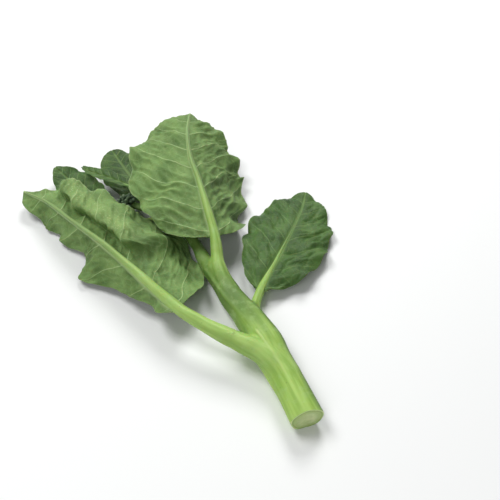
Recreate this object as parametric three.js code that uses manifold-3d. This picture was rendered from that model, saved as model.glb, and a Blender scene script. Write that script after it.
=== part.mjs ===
// One cut stalk of Chinese broccoli (gai lan), lying on its side: a thick stem, three large
// leaves, young leaves and a head of flower buds. Millimetres, +Z up.
// The stem lies along +Y, with its cut end towards -Y. The origin is the middle of the small
// flat that the stem rests on. Each leaf is a pale stalk, which runs on as the midrib on the
// leaf's back, and a thin waved blade.

import * as THREE from "three";
import { mergeVertices } from "three/addons/utils/BufferGeometryUtils.js";
import Module from "manifold-3d";

const wasm = await Module();
wasm.setup();

// Driving dimensions
const STEM_RADIUS = 12;
const BLADE_THICKNESS = 0.8;
const SEAT_GAP = 0.3;

// The stem's middle line, from beyond the cut end to the bud head
const STEM_PATH = [
  [-3.5, -46, 11],
  [-0.5, -12, 11],
  [1, 14, 11],
  [2, 32.5, 11.3],
  [0.5, 59, 11.3],
  [-2.5, 84, 11.4],
  [-3.5, 112, 11.6],
  [-5.5, 129, 12],
  [-5, 147, 12.4],
  [-7, 170, 12.8],
  [-15.5, 193, 12.8],
  [-36, 215, 13],
];

// The cut end: how far it stands from the origin, and how far its face is turned, in degrees
const CUT_AT = -37;
const CUT_TURN = -10;

// Radius along the stem as [distance from its start, share of STEM_RADIUS], swollen at the nodes
const STEM_PROFILE = [
  [0, 1.02],
  [34, 0.98],
  [60, 0.98],
  [76, 1.06],
  [98, 0.98],
  [122, 0.83],
  [146, 0.7],
  [160, 0.7],
  [174, 0.5],
  [190, 0.4],
  [240, 0.36],
  [270, 0.26],
];

// Low ridges that run down the stem from where a leaf leaves it: distances along the stem, and
// angles round it from the top, clockwise as seen from the cut end
const STEM_RIDGES = [
  { from: 84, to: 18, angle: -24, turn: 24, height: 1.6 },
  { from: 70, to: 28, angle: -100, turn: 10, height: 1.2 },
  { from: 160, to: 82, angle: -60, turn: 26, height: 1.1 },
  { from: 100, to: 60, angle: 96, turn: 8, height: 0.9 },
];

const RIDGE_WIDTH = 11;
const FLUTES = 5;
const FLUTE_DEPTH = 0.02;

// Leaves. path is the middle line of stalk and midrib, up the way the visible side faces at the
// foot and at the tip, stalk the radius by distance from the foot. Outlines are [along the
// midrib from where the blade starts, out from it]. Each half leaves the midrib at the slope
// fold, in degrees by distance along the blade, up positive. curl is the slope added by 50 mm
// out. A bend turns the half by turn degrees, from the distance at out to at + over, over the
// stretch of the blade from .. to, and moves out by drift for each mm along the blade.
const LEAVES = [
  {
    name: "leaf_left",
    backUp: true,
    path: [
      [1, 0, 10.5],
      [-3, 12, 11.5],
      [-9, 24.5, 13.5],
      [-18, 36, 16],
      [-28.5, 49, 19],
      [-38, 63, 21.5],
      [-47, 78, 24],
      [-57, 105, 26.5],
      [-66.5, 134, 28],
      [-77, 165.5, 29],
      [-92, 205, 27.5],
      [-104, 243, 22],
      [-114, 268, 15],
      [-117.5, 277.5, 12],
    ],
    up: [
      [0.1, 0, 1],
      [0, 0, 1],
    ],
    stalk: [
      [0, 8],
      [16, 9],
      [32, 8.2],
      [50, 6.8],
      [76, 5.3],
      [98, 4.6],
      [130, 3.7],
      [175, 2.4],
      [240, 1.4],
      [305, 0.6],
    ],
    bladeFrom: 98,
    rows: 28,
    left: {
      columns: 6,
      outline: [
        [0, 5],
        [8, 11],
        [28, 16],
        [52, 23],
        [78, 32],
        [97, 39],
        [102, 32],
        [108, 24],
        [124, 26],
        [148, 25],
        [170, 22],
        [190, 15],
        [205, 8],
        [211, 1.5],
      ],
      fold: [
        [0, -14],
        [22, -62],
        [62, -60],
        [90, -48],
        [112, -72],
        [168, -66],
        [204, -30],
      ],
      curl: 0,
      bends: [{ at: 24, over: 10, drift: 0, turn: 34, from: 74, to: 108 }],
      wave: { height: 1.6, pitch: 33, phase: 0.8 },
    },
    right: {
      columns: 16,
      outline: [
        [0, 5],
        [1, 20],
        [7, 39],
        [26, 55],
        [50, 65],
        [76, 70],
        [100, 67],
        [124, 57],
        [144, 50],
        [162, 42],
        [178, 30],
        [194, 17],
        [206, 8],
        [211, 1.5],
      ],
      fold: [
        [0, -8],
        [22, -20],
        [60, -17],
        [180, -14],
        [211, -26],
      ],
      curl: 0,
      bends: [
        { at: 6, over: 12, drift: 0.03, turn: 96, from: 58, to: 178 },
        { at: 17, over: 15, drift: 0.03, turn: -104, from: 58, to: 178 },
        { at: 26, over: 16, drift: 0.16, turn: -34, from: 44, to: 174 },
        { at: 40, over: 14, drift: 0.14, turn: 28, from: 20, to: 160 },
      ],
      wave: { height: 1.8, pitch: 29, phase: 2.2 },
    },
  },
  {
    name: "leaf_round",
    backUp: true,
    path: [
      [-2, 88.5, 11],
      [-2, 101.5, 13.5],
      [-0.5, 113, 17],
      [3.5, 123, 22],
      [7.5, 135, 28],
      [13.5, 167, 40],
      [18, 191, 45],
      [21, 211, 48],
      [32, 243, 48.5],
      [44, 268, 44],
      [50, 280, 40],
    ],
    up: [
      [0.1, -0.3, 1],
      [-0.1, -0.1, 1],
    ],
    stalk: [
      [0, 6.8],
      [20, 6.4],
      [36, 4.9],
      [64, 3.4],
      [108, 2.2],
      [155, 1.1],
      [205, 0.6],
    ],
    bladeFrom: 52,
    rows: 28,
    left: {
      columns: 6,
      outline: [
        [0, 4.5],
        [0, 15],
        [7, 32],
        [28, 47],
        [56, 57],
        [86, 60],
        [112, 55],
        [134, 43],
        [148, 27],
        [155, 12],
        [157, 1.5],
      ],
      fold: [
        [0, -4],
        [20, -12],
        [157, -8],
      ],
      curl: -17,
      bends: [],
      wave: { height: 2.6, pitch: 37, phase: 1.4 },
    },
    right: {
      columns: 6,
      outline: [
        [0, 4.5],
        [1, 18],
        [11, 38],
        [34, 53],
        [62, 60],
        [92, 59],
        [118, 50],
        [138, 36],
        [151, 19],
        [157, 1.5],
      ],
      fold: [
        [0, -4],
        [20, -31],
        [157, -22],
      ],
      curl: -22,
      bends: [{ at: 46, over: 16, drift: 0, turn: 34, from: 0, to: 150 }],
      wave: { height: 3, pitch: 33, phase: 0.2 },
    },
  },
  {
    name: "leaf_right",
    backUp: false,
    path: [
      [0, 46, 10],
      [4, 57, 9.6],
      [12, 70, 9.4],
      [25, 83, 10],
      [50, 103, 12],
      [78, 127, 11],
      [100, 149, 7],
      [115, 168, 3],
    ],
    up: [
      [0, 0, 1],
      [0.1, 0, 1],
    ],
    stalk: [
      [0, 6],
      [18, 4.6],
      [36, 3.7],
      [70, 2.3],
      [120, 1.2],
      [172, 0.6],
    ],
    bladeFrom: 42,
    rows: 21,
    left: {
      columns: 5,
      outline: [
        [0, 4],
        [3, 12],
        [16, 24],
        [38, 34],
        [62, 38],
        [84, 34],
        [104, 23],
        [118, 10],
        [124, 1.5],
      ],
      fold: [
        [0, 2],
        [20, 14],
        [124, 2],
      ],
      curl: -34,
      bends: [],
      wave: { height: 2.8, pitch: 31, phase: 0.4 },
    },
    right: {
      columns: 5,
      outline: [
        [0, 4],
        [5, 14],
        [20, 27],
        [42, 35],
        [66, 36],
        [88, 31],
        [106, 20],
        [119, 8],
        [124, 1.5],
      ],
      fold: [
        [0, 2],
        [20, 10],
        [124, 4],
      ],
      curl: -34,
      bends: [],
      wave: { height: 2.8, pitch: 27, phase: 1.9 },
    },
  },
  {
    name: "leaf_upper",
    backUp: false,
    path: [
      [-13, 188, 13],
      [-18, 203, 11],
      [-21, 219, 9.5],
      [-22, 244, 9],
      [-25, 273, 10],
      [-26, 301, 8],
    ],
    up: [
      [0, 0, 1],
      [0, 0.2, 1],
    ],
    stalk: [
      [0, 2.6],
      [18, 2.4],
      [40, 1.6],
      [112, 0.6],
    ],
    bladeFrom: 34,
    rows: 14,
    left: {
      columns: 4,
      outline: [
        [0, 2],
        [3, 11],
        [18, 22],
        [38, 25],
        [58, 19],
        [71, 8],
        [75, 1.5],
      ],
      fold: [
        [0, 2],
        [12, 14],
        [75, 6],
      ],
      curl: -30,
      bends: [],
      wave: { height: 1.8, pitch: 21, phase: 0.3 },
    },
    right: {
      columns: 4,
      outline: [
        [0, 2],
        [4, 10],
        [20, 21],
        [40, 24],
        [58, 18],
        [71, 8],
        [75, 1.5],
      ],
      fold: [
        [0, 2],
        [12, 8],
        [75, 6],
      ],
      curl: -30,
      bends: [],
      wave: { height: 1.8, pitch: 19, phase: 1.7 },
    },
  },
  {
    name: "leaf_far",
    backUp: false,
    path: [
      [-11, 184, 12],
      [-24, 195, 8.5],
      [-42, 204, 3.4],
      [-56, 222, 3.6],
      [-64, 248, 5],
      [-74, 272, 8],
      [-83, 297, 12],
    ],
    up: [
      [0, 0, 1],
      [-0.1, 0.2, 1],
    ],
    stalk: [
      [0, 2.6],
      [24, 2.3],
      [60, 1.5],
      [132, 0.6],
    ],
    bladeFrom: 68,
    rows: 14,
    left: {
      columns: 4,
      outline: [
        [0, 2],
        [5, 8],
        [18, 15],
        [34, 18],
        [50, 14],
        [61, 6],
        [65, 1.5],
      ],
      fold: [
        [0, 10],
        [65, 12],
      ],
      curl: -30,
      bends: [],
      wave: { height: 1.8, pitch: 20, phase: 2.6 },
    },
    right: {
      columns: 4,
      outline: [
        [0, 2],
        [5, 8],
        [18, 16],
        [34, 19],
        [50, 14],
        [61, 6],
        [65, 1.5],
      ],
      fold: [
        [0, 14],
        [65, 10],
      ],
      curl: -30,
      bends: [],
      wave: { height: 1.8, pitch: 18, phase: 0.9 },
    },
  },
  {
    name: "leaf_tip",
    backUp: false,
    path: [
      [-15, 193, 13.5],
      [-21, 209, 18],
      [-30, 229, 20],
      [-43, 249, 20],
      [-56, 267, 19],
      [-61, 280, 17],
    ],
    up: [
      [0.4, -0.4, 1],
      [0, 0, 1],
    ],
    stalk: [
      [0, 2],
      [24, 1.5],
      [104, 0.6],
    ],
    bladeFrom: 36,
    rows: 10,
    left: {
      columns: 3,
      outline: [
        [0, 1.5],
        [8, 5],
        [24, 7.5],
        [38, 5],
        [47, 1.5],
      ],
      fold: [
        [0, 24],
        [47, 20],
      ],
      curl: -40,
      bends: [],
      wave: { height: 0.8, pitch: 15, phase: 0 },
    },
    right: {
      columns: 3,
      outline: [
        [0, 1.5],
        [8, 5],
        [24, 7.5],
        [38, 5],
        [47, 1.5],
      ],
      fold: [
        [0, 24],
        [47, 20],
      ],
      curl: -40,
      bends: [],
      wave: { height: 0.8, pitch: 13, phase: 1 },
    },
  },
];

// The head of flower buds at the stem's end, closed and packed in a dome
const BUD_HEAD = { foot: [-35, 213, 12.6], axis: [-0.8, 0.6, 0.08], core: 6.4, length: 15 };
const BUD_COUNT = 34;
const BUD_RADIUS = 2.5;
const BUD_LENGTH = 3.2;
const BUD_REACH = 6.3;
const BUD_SPREAD = 125;
const SEED = 7;

// Mesh density
const STEM_SIDES = 20;
const STEM_STEP = 8;
const STALK_SIDES = 8;
const STALK_STEP = 13;
const BEND_STEPS = 24;

// Surface of the blades
const VEINS_PER_SIDE = 7;
const VEIN_BOW = 0.12;
const VEIN_CROWDING = 1.15;
const QUILT = 0.9;
const SCALLOP = 0.05;
const CURL_AT = 50;
const BEND_FADE = 20;
const TABLE_SOFTNESS = 1.6;

const point = (p) => new THREE.Vector3(...p);
const smooth = (x, from, to) => THREE.MathUtils.smoothstep(x, from, to);
const radians = (angle) => THREE.MathUtils.degToRad(angle);
const curveThrough = (points) => new THREE.CatmullRomCurve3(points.map(point), false, "centripetal");

// A value that runs smoothly through [place, value] pairs.
function profile(pairs, x) {
  let value = pairs[0][1];
  for (let i = 1; i < pairs.length; i++) {
    value += (pairs[i][1] - pairs[i - 1][1]) * smooth(x, pairs[i - 1][0], pairs[i][0]);
  }
  return value;
}

function meshGeometry(vertices, triangles) {
  const geometry = new THREE.BufferGeometry();
  const numbers = vertices.flatMap((v) => v.toArray());
  geometry.setAttribute("position", new THREE.Float32BufferAttribute(numbers, 3));
  geometry.setIndex(triangles.flat());
  return geometry;
}

// A closed body through rings of points, which turn clockwise as seen from the first ring.
function loft(rings) {
  const sides = rings[0].length;
  const vertices = rings.flat();
  const triangles = [];
  for (let i = 0; i + 1 < rings.length; i++) {
    for (let j = 0; j < sides; j++) {
      const [a, b] = [i * sides + j, i * sides + ((j + 1) % sides)];
      triangles.push([a, b, a + sides], [b, b + sides, a + sides]);
    }
  }
  const middle = (ring) => ring.reduce((sum, p) => sum.add(p), point([0, 0, 0])).divideScalar(sides);
  const first = vertices.push(middle(rings[0])) - 1;
  const last = vertices.push(middle(rings.at(-1))) - 1;
  const end = (rings.length - 1) * sides;
  for (let j = 0; j < sides; j++) {
    const next = (j + 1) % sides;
    triangles.push([first, next, j], [last, end + j, end + next]);
  }
  return meshGeometry(vertices, triangles);
}

function solid(geometry) {
  const merged = mergeVertices(geometry.deleteAttribute("normal").deleteAttribute("uv"), 1e-4);
  return new wasm.Manifold(
    new wasm.Mesh({
      numProp: 3,
      vertProperties: merged.attributes.position.array,
      triVerts: new Uint32Array(merged.index.array),
    }),
  );
}

const largest = (cut) => cut.decompose().sort((a, b) => b.volume() - a.volume())[0];

function geometryOf(body) {
  const mesh = body.getMesh();
  const geometry = new THREE.BufferGeometry();
  geometry.setAttribute("position", new THREE.BufferAttribute(new Float32Array(mesh.vertProperties), 3));
  geometry.setIndex(new THREE.BufferAttribute(new Uint32Array(mesh.triVerts), 1));
  const flat = geometry.toNonIndexed();
  flat.computeVertexNormals();
  return flat;
}

// The centre line's point, travel, up and right-hand directions at a distance along a curve.
function frameAt(curve, along, up) {
  const t = THREE.MathUtils.clamp(along / curve.getLength(), 0, 1);
  const centre = curve.getPointAt(t);
  const travel = curve.getTangentAt(t);
  const normal = up.clone().addScaledVector(travel, -up.dot(travel)).normalize();
  const right = travel.clone().cross(normal);
  return { centre, travel, normal, right };
}

// A ring of points round a centre; radiusAt gives the radius at an angle from the normal.
function ringAt({ centre, normal, right }, sides, radiusAt) {
  return Array.from({ length: sides }, (_, j) => {
    const angle = (2 * Math.PI * j) / sides;
    const radius = radiusAt(angle);
    return centre
      .clone()
      .addScaledVector(normal, radius * Math.cos(angle))
      .addScaledVector(right, radius * Math.sin(angle));
  });
}

// Stem

const stemCurve = curveThrough(STEM_PATH);

function stemRadius(along, angle) {
  let radius = STEM_RADIUS * profile(STEM_PROFILE, along);
  radius *= 1 + FLUTE_DEPTH * Math.cos(FLUTES * angle + along / 40);
  for (const ridge of STEM_RIDGES) {
    const share = (ridge.from - along) / (ridge.from - ridge.to);
    const centre = ridge.angle + ridge.turn * share;
    const from = THREE.MathUtils.radToDeg(angle) - centre;
    const off = THREE.MathUtils.euclideanModulo(from + 180, 360) - 180;
    const present = smooth(share, -0.12, 0.04) * (1 - smooth(share, 0.35, 1));
    radius += ridge.height * present * Math.exp(-((off / RIDGE_WIDTH) ** 2));
  }
  return radius;
}

// The stem's body, thicker all round by extra where it cuts its neighbours.
function stemBody(extra) {
  const length = stemCurve.getLength();
  const steps = Math.round(length / STEM_STEP);
  const rings = [];
  for (let i = 0; i <= steps; i++) {
    const along = (length * i) / steps;
    const frame = frameAt(stemCurve, along, point([0, 0, 1]));
    rings.push(ringAt(frame, STEM_SIDES, (angle) => stemRadius(along, angle) + extra));
  }
  return solid(loft(rings));
}

function makeStem() {
  const cutter = new THREE.BoxGeometry(100, 100, 100).translate(0, -50, 0);
  cutter.rotateZ(radians(CUT_TURN)).translate(STEM_PATH[0][0], CUT_AT, STEM_RADIUS);
  return stemBody(0).subtract(solid(cutter)).subtract(table);
}

// Leaves

// How much of a bend is present at a distance along the blade.
function within(x, { from, to }) {
  return smooth(x, from - BEND_FADE, from + BEND_FADE) * (1 - smooth(x, to - BEND_FADE, to + BEND_FADE));
}

// The slope of one half of a blade, in radians, at x along it and at the distance d out.
function slope(half, x, d) {
  let angle = profile(half.fold, x) + half.curl * (d / CURL_AT);
  for (const bend of half.bends) {
    const at = bend.at + bend.drift * x;
    angle += bend.turn * smooth(d, at, at + bend.over) * within(x, bend);
  }
  return radians(angle);
}

// A leaf's middle line and the middle surface of its blade.
function leafSurface(leaf) {
  const curve = curveThrough(leaf.path);
  const length = curve.getLength();
  const tip = leaf.left.outline.at(-1)[0];
  const outline = (half) => curveThrough(half.outline.map(([x, y]) => [x, y, 0]));
  const margins = { left: outline(leaf.left), right: outline(leaf.right) };
  const [footUp, tipUp] = leaf.up.map(point);

  const frame = (along) => frameAt(curve, along, footUp.clone().lerp(tipUp, smooth(along, 0, length)));

  // The flat leaf. Row u, from 0 at the blade's foot to 1 at its tip, is a side vein or lies
  // between two, and v is the share of the way from the midrib to the margin.
  function flat(side, u, v) {
    const margin = margins[side].getPointAt(u);
    const scallop = 1 - SCALLOP * Math.cos(Math.PI * VEINS_PER_SIDE * u) ** 4 * smooth(v, 0.6, 1);
    const start = tip * u ** VEIN_CROWDING;
    const bow = VEIN_BOW * margin.y * 4 * v * (1 - v);
    return { x: start + (margin.x - start) * v - bow, y: margin.y * v * scallop, width: margin.y };
  }

  function at(side, u, v) {
    const half = leaf[side];
    const { x, y, width } = flat(side, u, v);
    const { centre, normal, right } = frame(leaf.bladeFrom + (x * (length - leaf.bladeFrom)) / tip);
    const out = right.clone().multiplyScalar(side === "left" ? -1 : 1);
    const step = y / BEND_STEPS;
    const place = centre.clone();
    for (let k = 0; k < BEND_STEPS; k++) {
      const angle = slope(half, x, (k + 0.5) * step);
      place.addScaledVector(out, step * Math.cos(angle)).addScaledVector(normal, step * Math.sin(angle));
    }
    const angle = slope(half, x, y);
    const face = normal.clone().multiplyScalar(Math.cos(angle)).addScaledVector(out, -Math.sin(angle));
    const { height, pitch, phase } = half.wave;
    const swing = Math.sin((2 * Math.PI * x) / pitch + phase);
    const wave = height * v ** 2.4 * swing * smooth(width, 2, 14);
    const between = Math.sin(Math.PI * VEINS_PER_SIDE * u) ** 2;
    const quilt = QUILT * between * smooth(v, 0, 0.25) * (1 - 0.5 * v);
    return restOnTable(place.addScaledVector(face, wave + quilt * (leaf.backUp ? -1 : 1)));
  }
  return { length, frame, at };
}

// Presses what would go below the table on to it, softly.
function restOnTable(p) {
  const low = BLADE_THICKNESS * 0.7;
  p.z = low + TABLE_SOFTNESS * Math.log1p(Math.exp((p.z - low) / TABLE_SOFTNESS));
  return p;
}

// The grid of the blade's middle surface, from the left margin over the midrib to the right one.
function bladeGrid(surface, leaf) {
  const grid = [];
  for (let i = 0; i <= leaf.rows; i++) {
    const half = (side) =>
      Array.from({ length: leaf[side].columns }, (_, j) =>
        surface.at(side, i / leaf.rows, (j + 1) / leaf[side].columns),
      );
    grid.push([...half("left").reverse(), surface.at("left", i / leaf.rows, 0), ...half("right")]);
  }
  return grid;
}

// The grid with its foot and tip moved out along the midrib, and its margins across it, so that
// a sheet round it encloses the blade's edge.
function widened(grid, midrib, by) {
  const away = (p, from) => p.clone().sub(from).setLength(by);
  const rows = grid.map((row) => {
    const [left, right] = [away(row[0], row[1]), away(row.at(-1), row.at(-2))];
    return [row[0].clone().add(left), ...row.slice(1, -1), row.at(-1).clone().add(right)];
  });
  const foot = away(grid[0][midrib], grid[1][midrib]);
  const tip = away(grid.at(-1)[midrib], grid.at(-2)[midrib]);
  rows[0] = rows[0].map((p) => p.clone().add(foot));
  rows[rows.length - 1] = rows.at(-1).map((p) => p.clone().add(tip));
  return rows;
}

// A sheet of a given thickness round a grid of points, with both faces split alike.
function sheet(grid, thickness) {
  const [rows, columns] = [grid.length, grid[0].length];
  const id = (i, j) => i * columns + j;
  const faces = [];
  const rim = [];
  for (let i = 0; i + 1 < rows; i++) {
    for (let j = 0; j + 1 < columns; j++) {
      faces.push([id(i, j), id(i, j + 1), id(i + 1, j)], [id(i, j + 1), id(i + 1, j + 1), id(i + 1, j)]);
    }
    rim.push([id(i + 1, 0), id(i, 0)], [id(i, columns - 1), id(i + 1, columns - 1)]);
  }
  for (let j = 0; j + 1 < columns; j++) {
    rim.push([id(0, j), id(0, j + 1)], [id(rows - 1, j + 1), id(rows - 1, j)]);
  }
  const points = grid.flat();
  const middle = meshGeometry(points, faces);
  middle.computeVertexNormals();
  const { normal } = middle.attributes;
  const normals = points.map((_, k) => new THREE.Vector3().fromBufferAttribute(normal, k));
  const moved = (distance) => points.map((p, k) => p.clone().addScaledVector(normals[k], distance));
  const count = points.length;
  const under = faces.map(([a, b, c]) => [a + count, c + count, b + count]);
  const edge = rim.flatMap(([p, q]) => [
    [q, p, p + count],
    [q, p + count, q + count],
  ]);
  const vertices = [...moved(thickness / 2), ...moved(-thickness / 2)];
  return solid(meshGeometry(vertices, [...faces, ...under, ...edge]));
}

// The round stalk and midrib, which stands out of the back of the blade.
function stalkTube(surface, leaf) {
  const back = leaf.backUp ? 1 : -1;
  const steps = Math.round(surface.length / STALK_STEP);
  const rings = [];
  for (let i = 0; i <= steps; i++) {
    const along = (0.99 * surface.length * i) / steps;
    const radius = profile(leaf.stalk, along);
    const frame = surface.frame(along);
    frame.centre.addScaledVector(frame.normal, back * radius * 0.45);
    rings.push(ringAt(frame, STALK_SIDES, () => radius));
  }
  return solid(loft(rings));
}

// The leaf's stalk and blade, both cut back to the stem, and the stalk to the blade.
function makeLeaf(leaf) {
  const surface = leafSurface(leaf);
  const grid = bladeGrid(surface, leaf);
  const seat = sheet(widened(grid, leaf.left.columns, 2 * SEAT_GAP), BLADE_THICKNESS + 2 * SEAT_GAP);
  const stalk = largest(stalkTube(surface, leaf).subtract(seat).subtract(stemSeat).subtract(table));
  return { stalk, blade: largest(sheet(grid, BLADE_THICKNESS).subtract(stemSeat)) };
}

// Bud head: a core round the stem's end, covered by closed buds set by the golden angle

function makeBudHead() {
  const random = seededRandom(SEED);
  const axis = point(BUD_HEAD.axis).normalize();
  const upright = new THREE.Quaternion().setFromUnitVectors(point([0, 0, 1]), axis);
  const middle = point(BUD_HEAD.foot).addScaledVector(axis, BUD_HEAD.length / 2);
  const core = new THREE.SphereGeometry(1, 10, 6);
  core.scale(BUD_HEAD.core, BUD_HEAD.length / 2, BUD_HEAD.core);
  core.rotateX(Math.PI / 2).applyQuaternion(upright).translate(...middle.toArray());
  let head = solid(core);
  for (let i = 0; i < BUD_COUNT; i++) {
    const polar = radians(BUD_SPREAD * Math.sqrt((i + 0.5) / BUD_COUNT));
    const turn = i * GOLDEN_ANGLE;
    const out = new THREE.Vector3().setFromSphericalCoords(1, polar, turn);
    out.set(out.x, out.z, out.y).applyQuaternion(upright);
    const size = 0.85 + 0.3 * random();
    const bud = new THREE.SphereGeometry(size, 6, 3);
    bud.scale(BUD_RADIUS, BUD_LENGTH, BUD_RADIUS).rotateX(Math.PI / 2);
    bud.applyQuaternion(new THREE.Quaternion().setFromUnitVectors(point([0, 0, 1]), out));
    bud.translate(...middle.clone().addScaledVector(out, BUD_REACH + random()).toArray());
    head = head.add(solid(bud));
  }
  return largest(head.subtract(stemSeat));
}

// Numbers from 0 to 1 that are the same in every run.
function seededRandom(seed) {
  let state = seed;
  return () => {
    state = (state * 1664525 + 1013904223) % 4294967296;
    return state / 4294967296;
  };
}

const GOLDEN_ANGLE = Math.PI * (3 - Math.sqrt(5));

// The parts, each as a mesh of its own

function material(colour, roughness) {
  return new THREE.MeshStandardMaterial({ color: colour, roughness, metalness: 0 });
}

const STEM_FINISH = material("#8fb75c", 0.5);
const STALK_FINISH = material("#a3c874", 0.5);
const BACK_FINISH = material("#7f9f68", 0.7);
const FRONT_FINISH = material("#4a7040", 0.5);
const BUD_FINISH = material("#4c6650", 0.7);

const table = solid(new THREE.BoxGeometry(1000, 1000, 100).translate(0, 0, -50));
const stemSeat = stemBody(SEAT_GAP);
const part = new THREE.Group();

function addMesh(name, body, finish) {
  const mesh = new THREE.Mesh(geometryOf(body), finish);
  mesh.name = name;
  part.add(mesh);
}

addMesh("stem", makeStem(), STEM_FINISH);
for (const leaf of LEAVES) {
  const { stalk, blade } = makeLeaf(leaf);
  addMesh(`${leaf.name}_stalk`, stalk, STALK_FINISH);
  addMesh(`${leaf.name}_blade`, blade, leaf.backUp ? BACK_FINISH : FRONT_FINISH);
}
addMesh("bud_head", makeBudHead(), BUD_FINISH);

export default part;
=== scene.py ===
"""Looks of one cut stalk of Chinese broccoli that lies on its side.

Shapes are worked out in millimetres, in the frame of the solids, and turned into metres
when a mesh is made. The stem and the free leaf stalks are one skin, drawn round their
middle lines so that each stalk grows out of the stem. The blades repeat the middle
surface of their solids and add veins, puckers, fine waves and one crease to it.
"""

import math

import bmesh
import bpy
import numpy as np
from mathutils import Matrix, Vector


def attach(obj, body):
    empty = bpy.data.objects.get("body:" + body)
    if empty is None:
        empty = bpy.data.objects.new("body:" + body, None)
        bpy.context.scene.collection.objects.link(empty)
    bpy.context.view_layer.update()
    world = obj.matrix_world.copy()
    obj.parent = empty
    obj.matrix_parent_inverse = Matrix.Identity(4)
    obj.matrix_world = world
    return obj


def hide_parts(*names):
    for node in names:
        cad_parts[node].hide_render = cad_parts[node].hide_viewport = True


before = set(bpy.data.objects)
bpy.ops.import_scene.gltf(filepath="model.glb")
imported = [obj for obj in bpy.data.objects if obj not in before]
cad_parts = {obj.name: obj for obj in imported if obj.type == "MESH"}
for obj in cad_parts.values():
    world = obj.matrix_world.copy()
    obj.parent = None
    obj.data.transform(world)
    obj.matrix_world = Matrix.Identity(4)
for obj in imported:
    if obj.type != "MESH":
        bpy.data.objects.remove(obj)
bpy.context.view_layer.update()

# Driving dimensions, as in the solids apart from the left leaf's pleat
STEM_RADIUS = 12
BLADE_THICKNESS = 0.8
STEM_PATH = [
    (-3.5, -46, 11), (-0.5, -12, 11), (1, 14, 11), (2, 32.5, 11.3), (0.5, 59, 11.3),
    (-2.5, 84, 11.4), (-3.5, 112, 11.6), (-5.5, 129, 12), (-5, 147, 12.4), (-7, 170, 12.8),
    (-15.5, 193, 12.8), (-36, 215, 13),
]
CUT_AT = -37
CUT_TURN = -10
STEM_PROFILE = [
    (0, 1.02), (34, 0.98), (60, 0.98), (76, 1.06), (98, 0.98), (122, 0.83), (146, 0.7),
    (160, 0.7), (174, 0.5), (190, 0.4), (240, 0.36), (270, 0.26),
]
STEM_RIDGES = [
    {"from": 84, "to": 18, "angle": -24, "turn": 24, "height": 1.6},
    {"from": 70, "to": 28, "angle": -100, "turn": 10, "height": 1.2},
    {"from": 160, "to": 82, "angle": -60, "turn": 26, "height": 1.1},
    {"from": 100, "to": 60, "angle": 96, "turn": 8, "height": 0.9},
]
RIDGE_WIDTH = 11
FLUTES = 5
FLUTE_DEPTH = 0.02

VEINS_PER_SIDE = 7
VEIN_BOW = 0.12
VEIN_CROWDING = 1.15
QUILT = 0.9
SCALLOP = 0.05
CURL_AT = 50
BEND_FADE = 20
BEND_STEPS = 24
RIB_STAND = 0.45
TABLE_SOFTNESS = 1.6

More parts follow.
